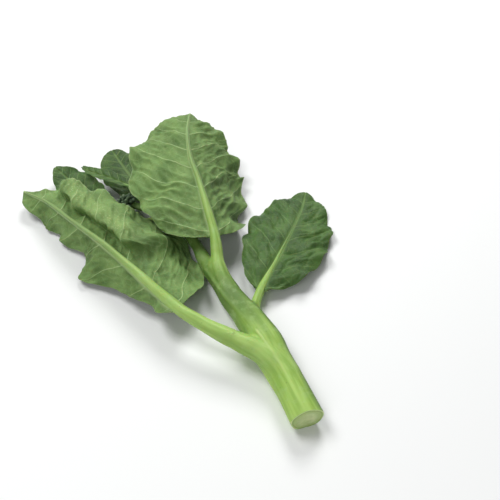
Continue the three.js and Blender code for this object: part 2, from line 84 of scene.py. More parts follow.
# Here rows are counted for each side vein, and columns across each half
LEAVES = [
    {
        "name": "leaf_left",
        "back_up": True,
        "path": [
            (1, 0, 10.5), (-3, 12, 11.5), (-9, 24.5, 13.5), (-18, 36, 16), (-28.5, 49, 19),
            (-38, 63, 21.5), (-47, 78, 24), (-57, 105, 26.5), (-66.5, 134, 28),
            (-77, 165.5, 29), (-92, 205, 27.5), (-104, 243, 22), (-114, 268, 15),
            (-117.5, 277.5, 12),
        ],
        "up": [(0.1, 0, 1), (0, 0, 1)],
        "stalk": [
            (0, 8), (16, 9), (32, 8.2), (50, 6.8), (76, 5.3), (98, 4.6), (130, 3.7),
            (175, 2.4), (240, 1.4), (305, 0.6),
        ],
        "blade_from": 98,
        "rows": 48,
        "left": {
            "columns": 46,
            "outline": [
                (0, 5), (8, 11), (28, 16), (52, 23), (78, 32), (97, 39), (102, 32), (108, 24),
                (124, 26), (148, 25), (170, 22), (190, 15), (205, 8), (211, 1.5),
            ],
            "fold": [(0, -14), (22, -62), (62, -60), (90, -48), (112, -72), (168, -66), (204, -30)],
            "curl": 0,
            "bends": [{"at": 24, "over": 10, "drift": 0, "turn": 34, "from": 74, "to": 108}],
            "wave": {"height": 1.6, "pitch": 33, "phase": 0.8},
        },
        "right": {
            # The pleat is tighter than in the solid and overhangs, so the outline is up to 8 wider
            "columns": 88,
            "outline": [
                (0, 5), (1, 20), (7, 39), (26, 55), (50, 65), (76, 73), (100, 73), (124, 65),
                (144, 57), (162, 49), (178, 32), (194, 17), (206, 8), (211, 1.5),
            ],
            "fold": [(0, -8), (22, -20), (60, -17), (180, -14), (211, -26)],
            "curl": 0,
            "bends": [
                {
                    "at": 8, "over": 6, "drift": 0.03, "turn": 130,
                    "from": 64, "to": 178, "fade": 14,
                },
                {
                    "at": 19.5, "over": 6.5, "drift": 0.03, "turn": -130,
                    "from": 64, "to": 178, "fade": 14,
                },
                {"at": 26, "over": 16, "drift": 0.16, "turn": -34, "from": 44, "to": 174},
                {"at": 40, "over": 14, "drift": 0.14, "turn": 28, "from": 20, "to": 160},
            ],
            "wave": {"height": 1.8, "pitch": 29, "phase": 2.2},
        },
    },
    {
        "name": "leaf_round",
        "back_up": True,
        "path": [
            (-2, 88.5, 11), (-2, 101.5, 13.5), (-0.5, 113, 17), (3.5, 123, 22), (7.5, 135, 28),
            (13.5, 167, 40), (18, 191, 45), (21, 211, 48), (32, 243, 48.5), (44, 268, 44),
            (50, 280, 40),
        ],
        "up": [(0.1, -0.3, 1), (-0.1, -0.1, 1)],
        "stalk": [(0, 6.8), (20, 6.4), (36, 4.9), (64, 3.4), (108, 2.2), (155, 1.1), (205, 0.6)],
        "blade_from": 52,
        "rows": 38,
        "left": {
            "columns": 62,
            "outline": [
                (0, 4.5), (0, 15), (7, 32), (28, 47), (56, 57), (86, 60), (112, 55), (134, 43),
                (148, 27), (155, 12), (157, 1.5),
            ],
            "fold": [(0, -4), (20, -12), (157, -8)],
            "curl": -17,
            "bends": [],
            "wave": {"height": 2.6, "pitch": 37, "phase": 1.4},
        },
        "right": {
            "columns": 62,
            "outline": [
                (0, 4.5), (1, 18), (11, 38), (34, 53), (62, 60), (92, 59), (118, 50), (138, 36),
                (151, 19), (157, 1.5),
            ],
            "fold": [(0, -4), (20, -31), (157, -22)],
            "curl": -22,
            "bends": [{"at": 46, "over": 16, "drift": 0, "turn": 34, "from": 0, "to": 150}],
            "wave": {"height": 3, "pitch": 33, "phase": 0.2},
        },
    },
    {
        "name": "leaf_right",
        "back_up": False,
        "path": [
            (0, 46, 10), (4, 57, 9.6), (12, 70, 9.4), (25, 83, 10), (50, 103, 12),
            (78, 127, 11), (100, 149, 7), (115, 168, 3),
        ],
        "up": [(0, 0, 1), (0.1, 0, 1)],
        "stalk": [(0, 6), (18, 4.6), (36, 3.7), (70, 2.3), (120, 1.2), (172, 0.6)],
        "blade_from": 42,
        "rows": 30,
        "left": {
            "columns": 44,
            "outline": [
                (0, 4), (3, 12), (16, 24), (38, 34), (62, 38), (84, 34), (104, 23), (118, 10),
                (124, 1.5),
            ],
            "fold": [(0, 2), (20, 14), (124, 2)],
            "curl": -34,
            "bends": [],
            "wave": {"height": 2.8, "pitch": 31, "phase": 0.4},
        },
        "right": {
            "columns": 44,
            "outline": [
                (0, 4), (5, 14), (20, 27), (42, 35), (66, 36), (88, 31), (106, 20), (119, 8),
                (124, 1.5),
            ],
            "fold": [(0, 2), (20, 10), (124, 4)],
            "curl": -34,
            "bends": [],
            "wave": {"height": 2.8, "pitch": 27, "phase": 1.9},
        },
    },
    {
        "name": "leaf_upper",
        "back_up": False,
        "path": [
            (-13, 188, 13), (-18, 203, 11), (-21, 219, 9.5), (-22, 244, 9), (-25, 273, 10),
            (-26, 301, 8),
        ],
        "up": [(0, 0, 1), (0, 0.2, 1)],
        "stalk": [(0, 2.6), (18, 2.4), (40, 1.6), (112, 0.6)],
        "blade_from": 34,
        "rows": 20,
        "left": {
            "columns": 32,
            "outline": [(0, 2), (3, 11), (18, 22), (38, 25), (58, 19), (71, 8), (75, 1.5)],
            "fold": [(0, 2), (12, 14), (75, 6)],
            "curl": -30,
            "bends": [],
            "wave": {"height": 1.8, "pitch": 21, "phase": 0.3},
        },
        "right": {
            "columns": 32,
            "outline": [(0, 2), (4, 10), (20, 21), (40, 24), (58, 18), (71, 8), (75, 1.5)],
            "fold": [(0, 2), (12, 8), (75, 6)],
            "curl": -30,
            "bends": [],
            "wave": {"height": 1.8, "pitch": 19, "phase": 1.7},
        },
    },
    {
        "name": "leaf_far",
        "back_up": False,
        "path": [
            (-11, 184, 12), (-24, 195, 8.5), (-42, 204, 3.4), (-56, 222, 3.6), (-64, 248, 5),
            (-74, 272, 8), (-83, 297, 12),
        ],
        "up": [(0, 0, 1), (-0.1, 0.2, 1)],
        "stalk": [(0, 2.6), (24, 2.3), (60, 1.5), (132, 0.6)],
        "blade_from": 68,
        "rows": 18,
        "left": {
            "columns": 26,
            "outline": [(0, 2), (5, 8), (18, 15), (34, 18), (50, 14), (61, 6), (65, 1.5)],
            "fold": [(0, 10), (65, 12)],
            "curl": -30,
            "bends": [],
            "wave": {"height": 1.8, "pitch": 20, "phase": 2.6},
        },
        "right": {
            "columns": 26,
            "outline": [(0, 2), (5, 8), (18, 16), (34, 19), (50, 14), (61, 6), (65, 1.5)],
            "fold": [(0, 14), (65, 10)],
            "curl": -30,
            "bends": [],
            "wave": {"height": 1.8, "pitch": 18, "phase": 0.9},
        },
    },
    {
        "name": "leaf_tip",
        "back_up": False,
        "path": [
            (-15, 193, 13.5), (-21, 209, 18), (-30, 229, 20), (-43, 249, 20), (-56, 267, 19),
            (-61, 280, 17),
        ],
        "up": [(0.4, -0.4, 1), (0, 0, 1)],
        "stalk": [(0, 2), (24, 1.5), (104, 0.6)],
        "blade_from": 36,
        "rows": 14,
        "left": {
            "columns": 14,
            "outline": [(0, 1.5), (8, 5), (24, 7.5), (38, 5), (47, 1.5)],
            "fold": [(0, 24), (47, 20)],
            "curl": -40,
            "bends": [],
            "wave": {"height": 0.8, "pitch": 15, "phase": 0},
        },
        "right": {
            "columns": 14,
            "outline": [(0, 1.5), (8, 5), (24, 7.5), (38, 5), (47, 1.5)],
            "fold": [(0, 24), (47, 20)],
            "curl": -40,
            "bends": [],
            "wave": {"height": 0.8, "pitch": 13, "phase": 1},
        },
    },
]

BUD_HEAD = {"foot": (-35, 213, 12.6), "axis": (-0.8, 0.6, 0.08), "core": 6.4, "length": 15}

# Looks that the solids don't have: the skin of the stem and stalks
SKIN_VOXEL = 0.85
SKIN_STEP = 3
SKIN_MARGIN = 0.4
SKIN_SIDES = 32
SKIN_ROUNDS = 4
SKIN_BATCH = 8000
SKIN_FLOOR = (0.03, 0.12)
STALK_BLEND = 3.6
STALK_OVERLAP = 9
STREAK_SQUEEZE = 0.045
CUT_RINGS = [1, 0.985, 0.96, 0.92, 0.86, 0.78, 0.68, 0.56, 0.42, 0.28, 0.14]

# Blades and midribs. Leaf sizes are compared with the longest blade
LONGEST_BLADE = 211
LEAF_THICKNESS = 0.45
LEAF_FLOOR = (0.1, 0.25)
COLUMN_CROWDING = 1.15
LEAF_DEPTH = {"leaf_far": 1.05, "leaf_upper": 0.8, "leaf_tip": 0.95}
WRINKLE = 1.7
PUCKER = 0.95
PIMPLE = 0.14
VEIN_HEIGHT = 0.55
VEIN_SLANT = 0.62
VEIN_SPREAD = 0.2
VEIN_CURVE = 0.002
VEIN_WANDER = 0.16
VEIN_ROUNDS = 8
CREASE_HEIGHT = 3.4
CREASE_STEEP = 2
CREASE_GENTLE = 10
CREASE_VEIN = 2.2
CREASE_DRIFT = 0.013
CREST_OFFSET = 5
CREST_WIDTH = 9
CREST_FROM = (72, 92)
CREST_TO = (165, 185)
MIDRIB_END = 0.985
MIDRIB_STEPS = 220
MIDRIB_SIDES = 28

# Buds on their own stalks
BUD_COUNT = 84
BUD_SPREAD = 122
BUD_RADIUS = 1.35
BUD_LENGTH = 3.5
BUD_STALK_RADIUS = 0.45
BUD_STEPS = 9
BUD_SIDES = 12
GOLDEN_ANGLE = math.pi * (3 - math.sqrt(5))

# Table, camera and light, with lengths in metres
TABLE_HALF = 3
AIM = Vector((0.038, 0.130, 0.0))
CAMERA_AZIMUTH = math.radians(-27)
CAMERA_ELEVATION = math.radians(48)
CAMERA_DISTANCE = 0.6
WORLD_LIGHT = 0.2


def smooth(x, start, end):
    t = np.clip((np.asarray(x, float) - start) / (end - start), 0, 1)
    return t * t * (3 - 2 * t)


def profile(pairs, x):
    value = np.full(np.shape(x), float(pairs[0][1]))
    for (x0, y0), (x1, y1) in zip(pairs, pairs[1:]):
        value = value + (y1 - y0) * smooth(x, x0, x1)
    return value


def unit(v):
    return v / np.maximum(np.linalg.norm(v, axis=-1, keepdims=True), 1e-9)


def dot(a, b):
    return (a * b).sum(-1, keepdims=True)


def press(z, low, softness):
    """Heights kept softly above a least one."""
    return low + softness * np.logaddexp(0, (z - low) / softness)


class Curve:
    """A centripetal Catmull-Rom curve, read by the distance along it."""

    def __init__(self, points):
        p = np.array(points, float)
        p = np.vstack([2 * p[0] - p[1], p, 2 * p[-1] - p[-2]])
        t = np.linspace(0, 1, 80, endpoint=False)[:, None]
        parts = []
        for a, b, c, d in zip(p, p[1:], p[2:], p[3:]):
            ta, tb, tc = (np.linalg.norm(q - r) ** 0.5 for q, r in ((a, b), (b, c), (c, d)))
            start = ((b - a) / ta - (c - a) / (ta + tb) + (c - b) / tb) * tb
            end = ((c - b) / tb - (d - b) / (tb + tc) + (d - c) / tc) * tb
            square = -3 * b + 3 * c - 2 * start - end
            cube = 2 * b - 2 * c + start + end
            parts.append(b + start * t + square * t**2 + cube * t**3)
        line = np.vstack(parts + [p[-2][None]])
        along = np.r_[0, np.cumsum(np.linalg.norm(np.diff(line, axis=0), axis=1))]
        self.length = along[-1]
        self.places = np.linspace(0, self.length, int(self.length * 2) + 40)
        self.points = np.stack([np.interp(self.places, along, line[:, k]) for k in range(3)], 1)
        self.travel = unit(np.gradient(self.points, axis=0))

    def _read(self, values, along):
        return np.stack([np.interp(along, self.places, values[:, k]) for k in range(3)], -1)

    def at(self, along):
        return self._read(self.points, along)

    def frame(self, along, up):
        """Centre, travel, up and right-hand directions."""
        travel = unit(self._read(self.travel, along))
        normal = unit(up - travel * dot(up, travel))
        return self.at(along), travel, normal, np.cross(travel, normal)


# Noise

LATTICE = np.random.RandomState(11).rand(65536)


def lattice(i, j, k, seed):
    return LATTICE[(i * 7919 + j * 104729 + k * 1299709 + seed * 15485863) & 65535]


def noise(p, seed=0):
    """Value noise from -1 to 1 at points (..., 3)."""
    cell = np.floor(p).astype(np.int64)
    f = p - cell
    f = f * f * (3 - 2 * f)
    total = 0
    for a in (0, 1):
        for b in (0, 1):
            for c in (0, 1):
                weight = (f[..., 0] if a else 1 - f[..., 0]) * (f[..., 1] if b else 1 - f[..., 1])
                weight = weight * (f[..., 2] if c else 1 - f[..., 2])
                corner = lattice(cell[..., 0] + a, cell[..., 1] + b, cell[..., 2] + c, seed)
                total = total + weight * corner
    return 2 * total - 1


def plane_noise(x, y, seed=0):
    return noise(np.stack([x, y, np.full(np.shape(x), 0.37)], -1), seed)


def cells(x, y, seed=0):
    """How far a point is from the border of its cell, 0 at the border and about 1 inside."""
    i, j = np.floor(x).astype(np.int64), np.floor(y).astype(np.int64)
    first = np.full(np.shape(x), 9.0)
    second = first.copy()
    for a in (-1, 0, 1):
        for b in (-1, 0, 1):
            px = i + a + 0.15 + 0.7 * lattice(i + a, j + b, 1, seed)
            py = j + b + 0.15 + 0.7 * lattice(i + a, j + b, 2, seed)
            d = np.hypot(px - x, py - y)
            second = np.minimum(second, np.maximum(first, d))
            first = np.minimum(first, d)
    return np.clip((second - first) * 1.6, 0, 1)


# Meshes

def make_mesh(name, points, faces, fields=None, slots=None):
    """A smooth mesh from points in millimetres. fields are values or vectors for each point."""
    mesh = bpy.data.meshes.new(name)
    faces = faces.tolist() if isinstance(faces, np.ndarray) else faces
    mesh.from_pydata((np.asarray(points) / 1000).tolist(), [], faces)
    mesh.polygons.foreach_set("use_smooth", [True] * len(mesh.polygons))
    for key, values in (fields or {}).items():
        values = np.asarray(values, np.float32)
        if values.ndim == 1:
            mesh.attributes.new(key, "FLOAT", "POINT").data.foreach_set("value", values)
        else:
            layer = mesh.attributes.new(key, "FLOAT_VECTOR", "POINT")
            layer.data.foreach_set("vector", values.ravel())
    if slots is not None:
        mesh.polygons.foreach_set("material_index", np.asarray(slots, np.int32))
    mesh.update()
    obj = bpy.data.objects.new(name, mesh)
    bpy.context.scene.collection.objects.link(obj)
    return obj


def tube(rings):
    """Points and faces of a tube through rings of shape (steps, sides, 3), closed by fans."""
    steps, sides = rings.shape[:2]
    points = np.vstack([rings.reshape(-1, 3), rings[0].mean(0), rings[-1].mean(0)])
    i, j = np.meshgrid(np.arange(steps - 1), np.arange(sides), indexing="ij")
    k = (j + 1) % sides
    quads = np.stack([i * sides + j, i * sides + k, (i + 1) * sides + k, (i + 1) * sides + j], -1)
    faces = quads.reshape(-1, 4).tolist()
    last = (steps - 1) * sides
    for a in range(sides):
        b = (a + 1) % sides
        faces.append([steps * sides, b, a])
        faces.append([steps * sides + 1, last + a, last + b])
    return points, faces


# Middle lines of the stem and the leaf stalks, and the skin round them

class Stem:
    def __init__(self):
        self.curve = Curve(STEM_PATH)
        self.end = self.curve.length

    def frame(self, along):
        return self.curve.frame(along, np.array([0, 0, 1.0]))

    def radius(self, along, angle):
        radius = STEM_RADIUS * profile(STEM_PROFILE, along)
        radius = radius * (1 + FLUTE_DEPTH * np.cos(FLUTES * angle + along / 40))
        for ridge in STEM_RIDGES:
            share = (ridge["from"] - along) / (ridge["from"] - ridge["to"])
            centre = ridge["angle"] + ridge["turn"] * share
            off = (np.degrees(angle) - centre + 180) % 360 - 180
            present = smooth(share, -0.12, 0.04) * (1 - smooth(share, 0.35, 1))
            radius = radius + ridge["height"] * present * np.exp(-((off / RIDGE_WIDTH) ** 2))
        return radius


class Leaf:
    def __init__(self, spec):
        self.spec = spec
        self.name = spec["name"]
        self.curve = Curve(spec["path"])
        self.length = self.curve.length
        self.tip = spec["left"]["outline"][-1][0]
        self.margins = {}
        for side in ("left", "right"):
            self.margins[side] = Curve([(x, y, 0) for x, y in spec[side]["outline"]])
        self.blend = min(STALK_BLEND, spec["stalk"][0][1] * 0.9)
        self.end = spec["blade_from"] + STALK_OVERLAP

    def line(self, along):
        share = smooth(along, 0, self.length)[..., None]
        foot, tip = (np.array(v, float) for v in self.spec["up"])
        return self.curve.frame(along, foot * (1 - share) + tip * share)

    def frame(self, along):
        """The stalk's own frame: its centre stands off the blade towards the back."""
        centre, travel, normal, right = self.line(along)
        radius = self.radius(along, 0)[..., None]
        if self.spec["back_up"]:
            return centre + normal * radius * RIB_STAND, travel, normal, right
        start = self.spec["blade_from"]
        sink = RIB_STAND + RIB_STAND * smooth(along, start, start + 30)[..., None]
        return centre - normal * radius * sink, travel, normal, right

    def radius(self, along, angle):
        base = profile(self.spec["stalk"], along)
        return base * (1 + 0.035 * np.cos(3 * angle + 0.5) + 0.02 * np.cos(7 * angle))

    def bend(self, half, x, d):
        angle = profile(half["fold"], x) + half["curl"] * d / CURL_AT
        for b in half["bends"]:
            at = b["at"] + b["drift"] * x
            fade = b.get("fade", BEND_FADE)
            within = smooth(x, b["from"] - fade, b["from"] + fade)
            within = within * (1 - smooth(x, b["to"] - BEND_FADE, b["to"] + BEND_FADE))
            angle = angle + b["turn"] * smooth(d - at, 0, b["over"]) * within
        return np.radians(angle)

    def flat(self, side, u, v):
        margin = self.margins[side]
        edge = margin.at(u * margin.length)
        scallop = 1 - SCALLOP * np.cos(math.pi * VEINS_PER_SIDE * u) ** 4 * smooth(v, 0.6, 1)
        start = self.tip * u**VEIN_CROWDING
        bow = VEIN_BOW * edge[..., 1] * 4 * v * (1 - v)
        return start + (edge[..., 0] - start) * v - bow, edge[..., 1] * v * scallop, edge[..., 1]

    def veins(self, x, y):
        """Where the side vein through a flat place leaves the midrib, and its slant there."""
        foot = x
        for _ in range(VEIN_ROUNDS):
            slant = VEIN_SLANT + VEIN_SPREAD * smooth(foot, 0, 0.5 * self.tip)
            foot = x - slant * y - VEIN_CURVE * y * y
        return foot * VEINS_PER_SIDE / self.tip, slant + 2 * VEIN_CURVE * y

    def half(self, side, u, v):
        """Points of one half's middle surface, the way its up side faces, and flat places."""
        spec = self.spec
        half = spec[side]
        x, y, width = self.flat(side, u, v)
        along = spec["blade_from"] + x * (self.length - spec["blade_from"]) / self.tip
        place, _, normal, right = self.line(np.clip(along, 0, self.length))
        out = -right if side == "left" else right
        step = y / BEND_STEPS
        for k in range(BEND_STEPS):
            angle = self.bend(half, x, (k + 0.5) * step)
            place = place + (step * np.cos(angle))[..., None] * out
            place = place + (step * np.sin(angle))[..., None] * normal
        angle = self.bend(half, x, y)[..., None]
        face = normal * np.cos(angle) - out * np.sin(angle)
        wave = half["wave"]
        swing = np.sin(2 * math.pi * x / wave["pitch"] + wave["phase"])
        lift = wave["height"] * v**2.4 * swing * smooth(width, 2, 14)
        q, slant = self.veins(x, y)
        between = np.sin(math.pi * q) ** 2
        quilt = QUILT * between * smooth(v, 0, 0.25) * (1 - 0.5 * v)
        lift = lift + quilt * (-1 if spec["back_up"] else 1)
        place = place + face * lift[..., None]
        place[..., 2] = press(place[..., 2], BLADE_THICKNESS * 0.7, TABLE_SOFTNESS)
        return place, face, x, y, width, q, slant


def nearest(line, samples, q):
    """Distance from points q to a line's tube, the way out, and places along and round it."""
    along = np.linspace(0, line.end, samples)
    centre, travel, normal, right = line.frame(along)
    distance = np.empty(len(q))
    out = np.empty_like(q)
    place = np.empty(len(q))
    turn = np.empty(len(q))
    for start in range(0, len(q), SKIN_BATCH):
        part = slice(start, start + SKIN_BATCH)
        p = q[part]
        gap = (p**2).sum(1)[:, None] - 2 * p @ centre.T + (centre**2).sum(1)[None]
        j = gap.argmin(1)
        t = np.clip(((p - centre[j]) * travel[j]).sum(1), -2, 2)
        s = np.clip(along[j] + t, 0, line.end)
        c, _, n, r = line.frame(s)
        ray = p - c
        angle = np.arctan2((ray * r).sum(1), (ray * n).sum(1))
        size = np.linalg.norm(ray, axis=1)
        distance[part] = size - line.radius(s, angle)
        out[part] = ray / np.maximum(size, 1e-6)[:, None]
        place[part] = s
        turn[part] = angle
    return distance, out, place, turn


def skin_field(lines, q):
    """The joined skin's signed distance at q, the way out, and each line's share and places."""
    total = None
    shares = []
    places = []
    for line in lines:
        d, out, s, turn = nearest(line, int(line.end) + 2, q)
        places.append((s, turn))
        if total is None:
            total, way = d, out
            shares.append(np.ones(len(q)))
            continue
        k = line.blend
        h = np.clip(k - np.abs(total - d), 0, None) / k
        mine = np.where(d < total, 1 - h / 2, h / 2)
        total = np.minimum(total, d) - h * h * k / 4
        way = unit(way * (1 - mine)[:, None] + out * mine[:, None])
        shares = [w * (1 - mine) for w in shares] + [mine]
    return total, way, shares, places


def voxel_skin(lines):
    """Points and quads of a rough skin round all the lines, from their tubes."""
    points, faces = [], []
    for line in lines:
        steps = int(line.end / SKIN_STEP)
        along = np.linspace(0, line.end, steps)[:, None]
        angle = np.linspace(0, 2 * math.pi, SKIN_SIDES, endpoint=False)[None]
        centre, _, normal, right = line.frame(np.broadcast_to(along, (steps, SKIN_SIDES)))
        radius = (line.radius(along, angle) + SKIN_MARGIN)[..., None]
        turn = angle[..., None]
        p, f = tube(centre + radius * (normal * np.cos(turn) + right * np.sin(turn)))
        faces += [[a + sum(map(len, points)) for a in face] for face in f]
        points.append(p)
    rough = make_mesh("rough", np.vstack(points), faces)
    remesh = rough.modifiers.new("remesh", "REMESH")
    remesh.mode = "VOXEL"
    remesh.voxel_size = SKIN_VOXEL / 1000
    done = rough.evaluated_get(bpy.context.evaluated_depsgraph_get()).to_mesh()
    co = np.empty(len(done.vertices) * 3)
    done.vertices.foreach_get("co", co)
    quads = [tuple(p.vertices) for p in done.polygons]
    bpy.data.objects.remove(rough)
    return co.reshape(-1, 3) * 1000, quads


def cut_plane():
    """A point of the cut's plane and its outward normal."""
    turn = math.radians(CUT_TURN)
    way = np.array([math.sin(turn), -math.cos(turn), 0])
    return np.array([STEM_PATH[0][0], CUT_AT, STEM_RADIUS]), way


def streaks(radius, turn, along):
    """Streaks that run along a stalk, and the places that they are read at."""
    wrap = np.stack([radius * np.cos(turn), radius * np.sin(turn), along * STREAK_SQUEEZE], 1)
    return 0.6 * noise(wrap * [0.45, 0.45, 1], 3) + 0.4 * noise(wrap * [1.1, 1.1, 1.4], 4), wrap


def make_skin(lines):
    """The stem and free stalks as one skin, cut across at the stem's end."""
    q, quads = voxel_skin(lines)
    for _ in range(SKIN_ROUNDS):
        d, way, _, _ = skin_field(lines, q)
        q = q - way * d[:, None]
    q[:, 2] = press(q[:, 2], *SKIN_FLOOR)
    mesh = bpy.data.meshes.new("skin")
    mesh.from_pydata(q.tolist(), [], quads)
    work = bmesh.new()
    work.from_mesh(mesh)
    place, way = cut_plane()
    geometry = work.verts[:] + work.edges[:] + work.faces[:]
    bmesh.ops.bisect_plane(work, geom=geometry, plane_co=place, plane_no=way, clear_outer=True)
    loop = [e for e in work.edges if e.is_boundary]
    verts = {}
    for edge in loop:
        a, b = edge.verts
        verts.setdefault(a, []).append(b)
        verts.setdefault(b, []).append(a)
    start = loop[0].verts[0]
    ring = [start, verts[start][0]]
    while True:
        ahead = [v for v in verts[ring[-1]] if v is not ring[-2]][0]
        if ahead is start:
            break
        ring.append(ahead)
    rim = np.array([v.co[:] for v in ring])
    work.to_mesh(mesh)
    work.free()
    co = np.empty(len(mesh.vertices) * 3)
    mesh.vertices.foreach_get("co", co)
    faces = [list(p.vertices) for p in mesh.polygons]
    bpy.data.meshes.remove(mesh)
    return co.reshape(-1, 3), faces, rim


def skin_piece(stem, leaves):
    lines = [stem] + leaves
    q, faces, rim = make_skin(lines)
    _, _, shares, places = skin_field(lines, q)
    count = len(q)
    streak, bloom_and_shade, pale, wart = np.zeros((4, count))
    for line, share, (s, turn) in zip(lines, shares, places):
        value, wrap = streaks(line.radius(s, turn), turn, s)
        streak += share * value
        if line is stem:
            # Darker upwards, partly a greyer waxy coat and partly painted shade under the leaves,
            # and painted shade along its right side near the cut, with a pale line on the first
            # ridge
            painted_side_shade = smooth(turn, 0.45, 1.1) * (1 - smooth(turn, 2.4, 2.9)) * smooth(s, -6, 14)
            bloom_and_shade += share * smooth(s, 45, 150) * (0.85 + 0.25 * noise(wrap * 0.2, 5))
            # Painted shade down the stem's right side near the cut
            bloom_and_shade += share * 0.85 * painted_side_shade
            # The pale line on the first ridge is partly the ridge's own paler colour and partly a
            # painted highlight along it
            ridge = STEM_RIDGES[0]
            along = (ridge["from"] - s) / (ridge["from"] - ridge["to"])
            off = (np.degrees(turn) - ridge["angle"] - ridge["turn"] * along + 180) % 360 - 180
            present = smooth(along, -0.05, 0.03) * (1 - smooth(along, 0.3, 0.75))
            pale += share * present * np.exp(-((off / 3) ** 2))
        else:
            near = 1 - smooth(s, 4, 34)
            bloom_and_shade += share * (0.12 + (0.5 * near if line is leaves[1] else 0))
            if line is leaves[0]:
                present = smooth(s, 30, 37) * (1 - smooth(s, 50, 57))
                wart += share * present * (1 - smooth(abs(turn - 0.3), 0.4, 0.8))

    # The cut face, in rings that shrink to its middle
    middle = rim.mean(0)
    _, way = cut_plane()
    rings = []
    for k, scale in enumerate(CUT_RINGS):
        ring = middle + (rim - middle) * scale
        rough = 0.12 * noise(ring * 0.9, 8) + 0.18 * noise(ring * 0.25, 9)
        lift = 0.22 * smooth(1 - scale, 0, 0.04) + rough * (k > 0)
        lift = lift - 0.3 * smooth(1 - scale, 0.1, 0.9)
        rings.append(ring + way * lift[:, None])
    n = len(rim)
    face_points = np.vstack(rings + [rings[-1].mean(0)[None]])
    face_faces = []
    for k in range(len(rings) - 1):
        outer = count + k * n
        inner = outer + n
        for a in range(n):
            b = (a + 1) % n
            face_faces.append([outer + a, outer + b, inner + b, inner + a])
    for a in range(n):
        face_faces.append([inner + a, inner + (a + 1) % n, count + len(face_points) - 1])
    # The cut face looks out of the stem
    a, b, c = (face_points[i - count] for i in face_faces[0][:3])
    if np.dot(np.cross(b - a, c - a), way) < 0:
        face_faces = [f[::-1] for f in face_faces]
    depth = np.r_[np.repeat(CUT_RINGS, n), 0]
    extra = np.zeros(len(face_points))
    skin = {"streak": streak, "bloom_and_shade": bloom_and_shade, "pale": pale, "stalk": 1 - shares[0], "wart": wart}
    fields = {key: np.r_[values, extra] for key, values in skin.items()}
    fields["ring"] = np.r_[np.zeros(count), depth]
    slots = [0] * len(faces) + [1] * len(face_faces)
    return make_mesh("stem_skin", np.vstack([q, face_points]), faces + face_faces, fields, slots)


# Blades and midribs

